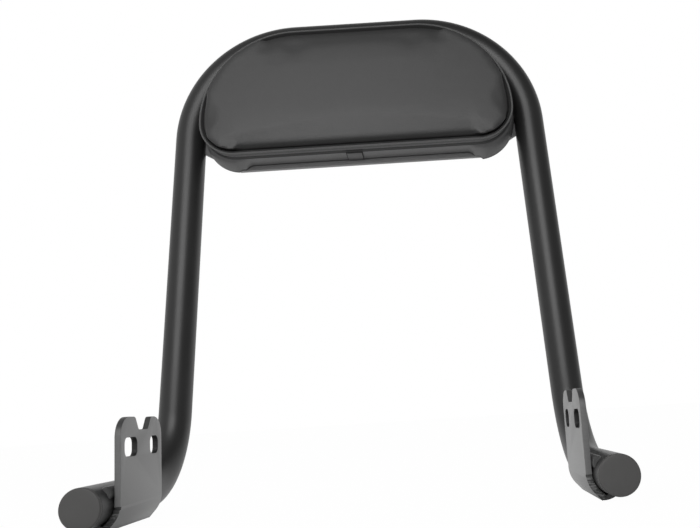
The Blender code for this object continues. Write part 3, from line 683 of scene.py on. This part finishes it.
def make_side_plates():
    """A web drawn down to the tube's height, spun round the tube and drawn on as a straight tab."""
    centre = (WEB_OUTER_X, (PLATE_REAR + PLATE_FRONT) / 2, (PLATE_TOP + FOOT_AXIS_Z) / 2)
    bpy.ops.mesh.primitive_plane_add(size=1, location=centre, rotation=(0, math.pi / 2, 0))
    bpy.context.object.scale = (PLATE_TOP - FOOT_AXIS_Z, PLATE_REAR - PLATE_FRONT, 1)
    plate = added("side_plate_left")
    edit(plate, "VERT")
    pick(plate, "VERT", lambda co: co.z > 0)
    bpy.ops.mesh.bevel(offset=FINGER_ROUND, segments=12, affect="VERTICES", profile=0.5)
    pick(plate, "EDGE", lambda edge: middle(edge).z < FOOT_AXIS_Z + NEAR)
    bpy.ops.mesh.spin(steps=14, angle=-SADDLE_ANGLE, center=(-FOOT_AXIS_X, 0, FOOT_AXIS_Z), axis=(0, 1, 0))
    along_tab = Vector((-math.sin(SADDLE_ANGLE), 0, -math.cos(SADDLE_ANGLE)))
    bpy.ops.mesh.extrude_edges_move(TRANSFORM_OT_translate={"value": along_tab * SADDLE_TAB})
    bpy.ops.mesh.select_all(action="SELECT")
    bpy.ops.mesh.normals_make_consistent(inside=False)
    done()
    web_face = max(plate.data.polygons, key=lambda face: face.area)
    thicken(plate, PLATE_THICKNESS, 1.0 if web_face.normal.x > 0 else -1.0, even=True)
    recalculate(plate)
    for centre_y, length in SLOTS:
        cut(plate, slot_tool(centre_y, length))
    cut(plate, notch_tool())
    edit(plate, "EDGE")
    pick(
        plate,
        "EDGE",
        lambda edge: along_x(edge)
        and middle(edge).z > PLATE_TOP - NEAR
        and abs(middle(edge).y - NOTCH_CENTRE) < NOTCH_TOP_WIDTH / 2 + 0.5 * MM,
    )
    bpy.ops.mesh.bevel(offset=1.6 * MM, segments=5, affect="EDGES", profile=0.5)
    done()
    bevel_edges(plate, 0.55 * MM, 4, 40)
    twin = mirrored(plate, "side_plate_right")
    for label, side, piece, drop in (("left", -1, plate, LEFT_RELIEF_DROP), ("right", 1, twin, 0.0)):
        cut(piece, relief_tool(side, drop))
        smooth(piece, 35)
        finish_piece(piece, PLATE_COAT, "plate_coating", f"mount_plate_{label}")


# Weld beads of the side plates


def make_bead(name, centre, half_sizes, tilt, start_y, end_y):
    """An oval bar along the tube with a flat front, rippled along its length and hollowed to fit the tube."""
    x, z = centre
    bpy.ops.mesh.primitive_circle_add(
        vertices=40, radius=1, fill_type="NGON", location=(x, start_y, z), rotation=(math.pi / 2, tilt, 0)
    )
    bpy.context.object.scale = (*half_sizes, 1)
    bead = added(name)
    pitch = 2.4 * MM
    steps = [(0.5 * MM, 1.1)]
    steps += [(pitch / 2, 1.06), (pitch / 2, 1 / 1.06)] * round((end_y - start_y) / pitch)
    steps += [(0.8 * MM, 0.6)]
    edit(bead, "FACE")
    bpy.ops.mesh.select_all(action="SELECT")
    bpy.ops.transform.resize(value=(0.9, 1, 0.9), center_override=(x, 0, z))
    for length, swell in steps:
        bpy.ops.mesh.extrude_region_move(TRANSFORM_OT_translate={"value": (0, length, 0)})
        bpy.ops.transform.resize(value=(swell, 1, swell), center_override=(x, 0, z))
    done()
    recalculate(bead)
    cut(bead, cylinder("tube_tool", 96, TUBE_R + 0.05 * MM, 0.3, foot_end(-1)))
    smooth(bead, 50)
    return bead


def make_plate_beads():
    """The bead in the groove between web and tube, and the one along the tab under the tube."""
    end_y = 31 * MM
    centre, half_sizes = (-150.8 * MM, -27.2 * MM), (3.2 * MM, 4.4 * MM)
    groove = make_bead("groove_bead_left", centre, half_sizes, 0, -41.1 * MM, end_y)
    finish_pair(groove, "groove_bead", WELD_COAT, "hoop_coating", "groove_weld")
    centre, half_sizes = (-157.9 * MM, -48.2 * MM), (5.4 * MM, 1.7 * MM)
    saddle = make_bead("saddle_bead_left", centre, half_sizes, math.radians(18.8), -33.6 * MM, end_y)
    finish_pair(saddle, "saddle_bead", WELD_COAT, "hoop_coating", "saddle_weld")


def make_pad_plate():
    """The steel plate inside the arch, with cut lower corners and four bolt holes."""
    inner = TUBE_R - FIT_GAP
    top = HOOP_HEIGHT - inner
    foot_x = FOOT_AXIS_X - PAD_PLATE_BOTTOM * math.tan(LEG_SPLAY) - inner / math.cos(LEG_SPLAY)
    top_x = FOOT_AXIS_X - top * math.tan(LEG_SPLAY) - inner / math.cos(LEG_SPLAY)
    corner = (ARCH_BEND_RADIUS - inner) * math.tan(math.pi / 4 - LEG_SPLAY / 2)
    plate = upright_face("pad_backing_plate", foot_x, PAD_PLATE_BOTTOM, top)
    edit(plate, "VERT")
    pick(plate, "VERT", lambda co: co.z > PAD_PLATE_SHOULDER)
    bpy.ops.transform.resize(value=(top_x / foot_x, 1, 1), center_override=(0, 0, 0))
    bpy.ops.mesh.bevel(offset=corner, segments=40, affect="VERTICES", profile=0.5)
    corner_height = PAD_PLATE_SHOULDER - PAD_PLATE_BOTTOM
    for _, side in SIDES:
        bpy.ops.mesh.select_all(action="SELECT")
        bpy.ops.mesh.bisect(
            plane_co=(side * (foot_x - 1.0 * MM), 0, PAD_PLATE_SHOULDER),
            plane_no=(side * corner_height, 0, -PAD_PLATE_CORNER_WIDTH),
            clear_outer=True,
        )
    bpy.ops.mesh.select_all(action="SELECT")
    bpy.ops.mesh.extrude_region_move(TRANSFORM_OT_translate={"value": (0, PAD_PLATE_THICKNESS, 0)})
    done()
    recalculate(plate)
    for height in BOLT_ROWS:
        for _, side in SIDES:
            cut(plate, cylinder("hole_tool", 32, BOLT_HOLE_R, 20 * MM, (side * BOLT_HALF_SPAN, 0, height)))
    bevel_edges(plate, 0.4 * MM, 2, 40)
    smooth(plate, 35)
    into_hoop(plate)
    finish_piece(plate, PAD_PLATE_COAT, "hoop_coating", "pad_plate")


# Pad


def pad_blank(name, inset, depth):
    """A face with the pad's outline, at a depth in front of the pad plate."""
    low, high = PAD_BOTTOM + inset, PAD_TOP - inset
    middle_z = (low + high) / 2
    blank = upright_face(name, PAD_HALF_WIDTH - inset, low, high, -depth)
    edit(blank, "VERT")
    pick(blank, "VERT", lambda co: co.z < middle_z)
    bpy.ops.mesh.bevel(offset=PAD_LOWER_RADIUS - inset, segments=16, affect="VERTICES", profile=0.5)
    pick(blank, "VERT", lambda co: co.z > high - NEAR)
    bpy.ops.mesh.bevel(offset=PAD_UPPER_RADIUS - inset, segments=44, affect="VERTICES", profile=0.5)
    pick(blank, "EDGE", lambda edge: edge.calc_length() > 60 * MM and middle(edge).z < middle_z)
    bpy.ops.mesh.subdivide(number_cuts=67)
    pick(blank, "EDGE", lambda edge: edge.calc_length() > 60 * MM and middle(edge).z > middle_z)
    bpy.ops.mesh.subdivide(number_cuts=33)
    done()
    return blank


def draw_band(name, front, back, bulges):
    """Draws the pad's outline back from one depth to another. A bulge is a share of the way and a swell."""
    band = pad_blank(name, 0.0, front)
    edit(band, "FACE")
    bpy.ops.mesh.select_all(action="SELECT")
    bpy.ops.mesh.delete(type="ONLY_FACE")
    bpy.ops.mesh.select_mode(type="EDGE")
    bpy.ops.mesh.select_all(action="SELECT")
    at = 0.0
    for share, _ in bulges[1:]:
        step = (share - at) * (front - back)
        bpy.ops.mesh.extrude_edges_move(TRANSFORM_OT_translate={"value": (0, step, 0)})
        at = share
    bpy.ops.mesh.select_all(action="SELECT")
    bpy.ops.mesh.normals_make_consistent(inside=False)
    for share, bulge in bulges:
        y = -front + share * (front - back)
        pick(band, "VERT", lambda co: abs(co.y - y) < NEAR)
        bpy.ops.transform.shrink_fatten(value=bulge)
    done()
    return band


def make_side_band():
    """The cover's band between the two seams, drawn in at both."""
    drawn_in = 1.9 * MM
    back = REAR_SEAM + SEAM_GAP
    lip = PIPING_R * 1.1 / (FRONT_SEAM - back)
    bulges = [(0, -0.5 * MM)]
    for share in (0, 0.05, 0.12, 0.22, 0.36, 0.5, 0.64, 0.78, 0.88, 0.95, 1):
        bulges.append((lip + share * (1 - lip), (math.sin(math.pi * share) ** 0.6 - 1) * drawn_in))
    band = draw_band("pad_side_band", FRONT_SEAM, back, bulges)
    thicken(band, VINYL)
    smooth(band, 60)
    into_hoop(band)
    finish_piece(band, COVER, "cover_vinyl", "cover_side_band")


def make_rear_band():
    """The cover's band behind the second seam. Its top is drawn down and its lower corners hang out."""
    front, back = REAR_SEAM - SEAM_GAP, FIT_GAP
    shares = (0, 0.03, 0.08, 0.16, 0.28, 0.42, 0.56, 0.7, 0.84, 0.93, 1)
    bulges = [(share, (math.sin(math.pi * min(share, 0.5)) ** 0.35 - 1) * 1.1 * MM) for share in shares]
    band = draw_band("pad_rear_band", front, back, bulges)
    edit(band, "VERT")
    draw_down_top(band)
    for side, hang in ((-1, 0.19), (1, 0.25)):
        for share in shares:
            hang_out_corner(band, side, -front + share * (front - back), hang * share**0.6)
    done()
    thicken(band, VINYL)
    smooth(band, 60)
    into_hoop(band)
    finish_piece(band, REAR_COVER_PAINTED_LIGHT, "cover_vinyl", "cover_rear_band")


def draw_down_top(band):
    """Lowers the rear band's top step by step towards the back, so that it passes inside the top bar."""
    fixed_z = 300 * MM
    drop, steps = 6.8 * MM, 12
    height = PAD_TOP - fixed_z
    for i in range(steps):
        y = -REAR_SEAM + i / steps * REAR_SEAM
        before = height - drop * (i / steps) ** 0.8
        after = height - drop * ((i + 1) / steps) ** 0.8
        pick(band, "VERT", lambda co: co.z > fixed_z and co.y > y)
        bpy.ops.transform.resize(value=(1, 1, after / before), center_override=(0, 0, fixed_z))


def hang_out_corner(band, side, y, out):
    """Widens one loop of the rear band at a lower corner, and fades that out along its lower edge."""
    corner_x, corner_z = PAD_HALF_WIDTH - PAD_LOWER_RADIUS, PAD_BOTTOM + PAD_LOWER_RADIUS
    fold, fold_end = corner_x - 4 * MM, corner_x - 7 * MM
    # Where each strip begins and ends, and how much of the way out it goes sideways and down
    strips = (
        (corner_x, 2 * PAD_HALF_WIDTH, 0.5, 1.0),
        (fold, corner_x, 0.0, 0.6),
        (fold_end, fold, 0.0, 0.2),
    )
    for inner, outer, wider, lower in strips:
        pick(
            band,
            "VERT",
            lambda co: abs(co.y - y) < 5 * NEAR
            and inner < co.x * side <= outer
            and co.z < corner_z + 10 * NEAR,
        )
        size = (1 + out * wider, 1, 1 + out * lower)
        bpy.ops.transform.resize(value=size, center_override=(side * corner_x, y, corner_z))


def make_piping():
    """The round cord in the front seam: the outline's edge made a curve with a round section."""
    path = pad_blank("pad_piping", 0.0, FRONT_SEAM)
    edit(path, "FACE")
    bpy.ops.mesh.select_all(action="SELECT")
    bpy.ops.mesh.delete(type="ONLY_FACE")
    done()
    alone(path)
    bpy.ops.object.convert(target="CURVE")
    path.data.bevel_depth = PIPING_R
    path.data.bevel_resolution = 4
    bpy.ops.object.convert(target="MESH")
    piping = bpy.context.object
    recalculate(piping)
    smooth(piping, 60)
    into_hoop(piping)
    finish_piece(piping, PIPING_PAINTED_HIGHLIGHT, "piping_vinyl", "seam_piping")


def make_cushion():
    """The padded front: a shallow dome with a tight roll, blown up under its cover as simulated cloth."""
    back = REAR_SEAM + 2.0 * MM
    roll = ((0.3, 1.1), (0.5, 1.1), (0.8, 0.9), (1.1, 0.6), (1.6, 0.4), (3.5, 0.35), (8.0, 0.4), (14.0, 0.5))
    cushion = pad_blank("pad_front_cushion", CUSHION_RIM, back)
    edit(cushion, "FACE")
    bpy.ops.mesh.select_all(action="SELECT")
    bpy.ops.mesh.extrude_region_move(TRANSFORM_OT_translate={"value": (0, back - FRONT_SEAM, 0)})
    for thickness, depth in roll:
        bpy.ops.mesh.inset(thickness=thickness * MM, depth=depth * MM)
    done()
    recalculate(cushion)
    remesh = cushion.modifiers.new("even mesh", "REMESH")
    remesh.mode = "VOXEL"
    remesh.voxel_size = 2.5 * MM
    apply_all(cushion)
    inflate(cushion)
    soften = cushion.modifiers.new("soften", "SMOOTH")
    soften.factor = 0.5
    soften.iterations = 6
    apply_all(cushion)
    subdivision = cushion.modifiers.new("finer", "SUBSURF")
    subdivision.levels = 1
    subdivision.render_levels = 1
    apply_all(cushion)
    smooth(cushion, 60)
    into_hoop(cushion)
    finish_piece(cushion, COVER, "cover_vinyl", "foam_core", "cover_front_panel")


def inflate(cushion):
    """Simulated cloth under pressure, with the seam held, and the movement capped."""
    verts = cushion.data.vertices
    before = [vert.co.copy() for vert in verts]
    held = cushion.vertex_groups.new(name="seam")
    held.add([vert.index for vert in verts if vert.co.y > -(FRONT_SEAM + 1.2 * MM)], 1.0, "REPLACE")
    cloth = cushion.modifiers.new("cloth", "CLOTH")
    cloth.settings.vertex_group_mass = held.name
    cloth.settings.use_pressure = True
    cloth.settings.uniform_pressure_force = 4.0
    cloth.settings.effector_weights.gravity = 0.0
    cloth.settings.quality = 5
    cloth.collision_settings.use_collision = False
    cloth.collision_settings.use_self_collision = False
    scene = bpy.context.scene
    for step in range(1, 21):
        scene.frame_set(step)
    apply_all(cushion)
    scene.frame_set(1)
    cushion.vertex_groups.clear()
    for vert, start in zip(cushion.data.vertices, before):
        moved = vert.co - start
        if moved.length > CUSHION_SWELL:
            vert.co = start + moved * (CUSHION_SWELL / moved.length)


def make_tab():
    """The small sewn patch over the joint of the rear band, under the pad."""
    bpy.ops.mesh.primitive_cube_add(size=1, location=(TAB_CENTRE_X, TAB_CENTRE_Y, PAD_BOTTOM - 0.5 * MM))
    bpy.context.object.scale = (TAB_WIDTH, TAB_LENGTH, TAB_THICKNESS)
    tab = added("pad_tab")
    bevel_edges(tab, 0.3 * MM, 3)
    smooth(tab, 40)
    into_hoop(tab)
    finish_piece(tab, TAB, "cover_vinyl", "cover_band_tab")


# Fasteners behind the pad plate


def make_bolt():
    """A domed socket-head bolt, at the lower left hole."""
    seat = PAD_PLATE_THICKNESS + WASHER_THICKNESS + 2 * FIT_GAP
    top = seat + BOLT_HEAD_HEIGHT
    tip_chamfer = 0.6 * MM
    x, z = -BOLT_HALF_SPAN, BOLT_ROWS[0]
    bolt = cylinder("button_bolt_lower_left", 48, BOLT_HEAD_R, BOLT_HEAD_HEIGHT, (x, (seat + top) / 2, z))
    edit(bolt, "EDGE")
    pick(bolt, "EDGE", lambda edge: all(abs(v.co.y - top) < NEAR for v in edge.verts))
    bpy.ops.mesh.bevel(offset=2.4 * MM, segments=8, affect="EDGES", profile=0.5)
    pick(bolt, "FACE", lambda face: len(face.verts) > 4 and abs(face.calc_center_median().y - seat) < NEAR)
    bpy.ops.mesh.inset(thickness=BOLT_HEAD_R - BOLT_R, depth=0)
    bpy.ops.mesh.extrude_region_move(TRANSFORM_OT_translate={"value": (0, tip_chamfer - BOLT_LENGTH, 0)})
    bpy.ops.mesh.inset(thickness=tip_chamfer, depth=tip_chamfer)
    done()
    cut(bolt, cylinder("socket_tool", 6, 2.31 * MM, 4.0 * MM, (x, top, z)))
    smooth(bolt, 40)
    return bolt


def make_washer():
    """A flat washer, at the lower left hole."""
    place = (-BOLT_HALF_SPAN, PAD_PLATE_THICKNESS + FIT_GAP + WASHER_THICKNESS / 2, BOLT_ROWS[0])
    washer = cylinder("flat_washer_lower_left", 48, WASHER_R, WASHER_THICKNESS, place)
    cut(washer, cylinder("hole_tool", 48, BOLT_HOLE_R, 4 * WASHER_THICKNESS, place))
    bevel_edges(washer, 0.2 * MM, 2)
    smooth(washer, 40)
    return washer


def set_at_holes(first, name, node):
    """Copies a fastener from the lower left hole to the other three."""
    placed = {"lower_left": first}
    for row, height in zip(("lower", "upper"), BOLT_ROWS):
        for label, side in SIDES:
            hole = f"{row}_{label}"
            if hole not in placed:
                offset = (side * BOLT_HALF_SPAN + BOLT_HALF_SPAN, 0, height - BOLT_ROWS[0])
                placed[hole] = copied(first, f"{name}_{hole}", offset)
    for hole, piece in placed.items():
        into_hoop(piece)
        finish_piece(piece, ZINC, "zinc_steel", f"{node}_{hole}")


make_hoop()
make_plugs()
make_side_plates()
make_plate_beads()
make_pad_plate()
make_cushion()
make_side_band()
make_rear_band()
make_piping()
make_tab()
set_at_holes(make_bolt(), "button_bolt", "pad_bolt")
set_at_holes(make_washer(), "flat_washer", "washer")

carried = {"base_board": PLYWOOD, "tee_nut": ZINC, "pad_plate_weld": WELD_COAT}
for name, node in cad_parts.items():
    for start, material in carried.items():
        if name.startswith(start):
            node.data.materials.clear()
            node.data.materials.append(material)


# Camera, lights and floor


def make_camera():
    """Low in front of the right-hand foot, looking slightly up, as in the photograph."""
    place = (0.060672, -0.515145, 0.008939)
    right = Vector((0.99799439, 0.00774109, -0.06282727))
    up = Vector((0.06328314, -0.14647042, 0.98718877))
    back = right.cross(up)
    data = bpy.data.cameras.new("camera")
    camera = bpy.data.objects.new("camera", data)
    bpy.context.scene.collection.objects.link(camera)
    turn = Matrix((right, up, back)).transposed().to_4x4()
    camera.matrix_world = Matrix.Translation(place) @ turn
    data.sensor_width = 36.0
    data.lens = 39.09
    data.shift_x = -0.1304
    data.shift_y = 0.0514
    data.clip_start = 0.01
    bpy.context.scene.camera = camera


def make_floor():
    """A pale floor under and behind the object, white to the camera but for the object's faint shadow."""
    size, front_y = 8.0, -0.16
    bpy.ops.mesh.primitive_plane_add(size=size, location=(0, size / 2 + front_y, cad_box[0].z - 0.5 * MM))
    floor = added("floor")
    paint = Paint("pale_floor")
    rays = paint.node("ShaderNodeLightPath").outputs
    x, y, _ = paint.parts(paint.place)
    behind = paint.step(y + abs(x), 0.06, 0.26)
    paint.colour(grey(0.8))
    paint.rough(0.8)
    seen = Number(paint, rays["Is Camera Ray"]) + Number(paint, rays["Is Transmission Ray"])
    bounced = Number(paint, rays["Is Glossy Ray"]) + Number(paint, rays["Is Diffuse Ray"])
    share = seen * 0.985 + bounced * behind
    white = paint.node("ShaderNodeEmission", None, {"Color": grey(1), "Strength": 1.0}).outputs[0]
    shown = paint.node("ShaderNodeMixShader", None, {0: share, 1: paint.shader.outputs[0], 2: white})
    paint.feed(paint.tree.nodes["Material Output"].inputs["Surface"], shown.outputs[0])
    floor.data.materials.append(paint.material)


def make_world():
    """White to the camera. What lights the object is white behind it, and a dimmer room in front."""
    world = bpy.data.worlds.new("white_studio")
    bpy.context.scene.world = world
    world.use_nodes = True
    sky = Nodes(world.node_tree)
    x, y, z = sky.parts(sky.node("ShaderNodeTexCoord").outputs["Generated"])
    rays = sky.node("ShaderNodeLightPath").outputs
    room = (0.75 - sky.step(x, -0.8, 0.6) * 0.43) * (0.25 + sky.step(z, -0.25, 0.05) * 0.75)
    room = room * (1 - sky.step(z, 0.5, 0.9) * 0.5)
    behind = sky.step(y, 0.1, 0.75)
    level = room * (1 - behind) + behind
    seen = Number(sky, rays["Is Camera Ray"]) + Number(sky, rays["Is Transmission Ray"])
    white = sky.node("ShaderNodeBackground", None, {"Color": grey(1)}).outputs[0]
    lit = sky.node("ShaderNodeBackground", None, {"Color": sky.mix(level, grey(0), grey(1))}).outputs[0]
    shown = sky.node("ShaderNodeMixShader", None, {0: seen, 1: lit, 2: white})
    sky.feed(sky.tree.nodes["World Output"].inputs["Surface"], shown.outputs[0])


def make_lamp(name, place, target, size, power):
    """A square soft lamp."""
    data = bpy.data.lights.new(name, "AREA")
    data.size = size
    data.energy = power
    lamp = bpy.data.objects.new(name, data)
    bpy.context.scene.collection.objects.link(lamp)
    aim = (Vector(target) - Vector(place)).to_track_quat("-Z", "Y")
    lamp.matrix_world = Matrix.Translation(place) @ aim.to_matrix().to_4x4()


make_camera()
make_floor()
make_world()
make_lamp("front_softbox", place=(-0.12, -0.95, 0.55), target=(0, 0.1, 0.12), size=0.8, power=8.0)
bpy.context.scene.view_settings.view_transform = "Standard"
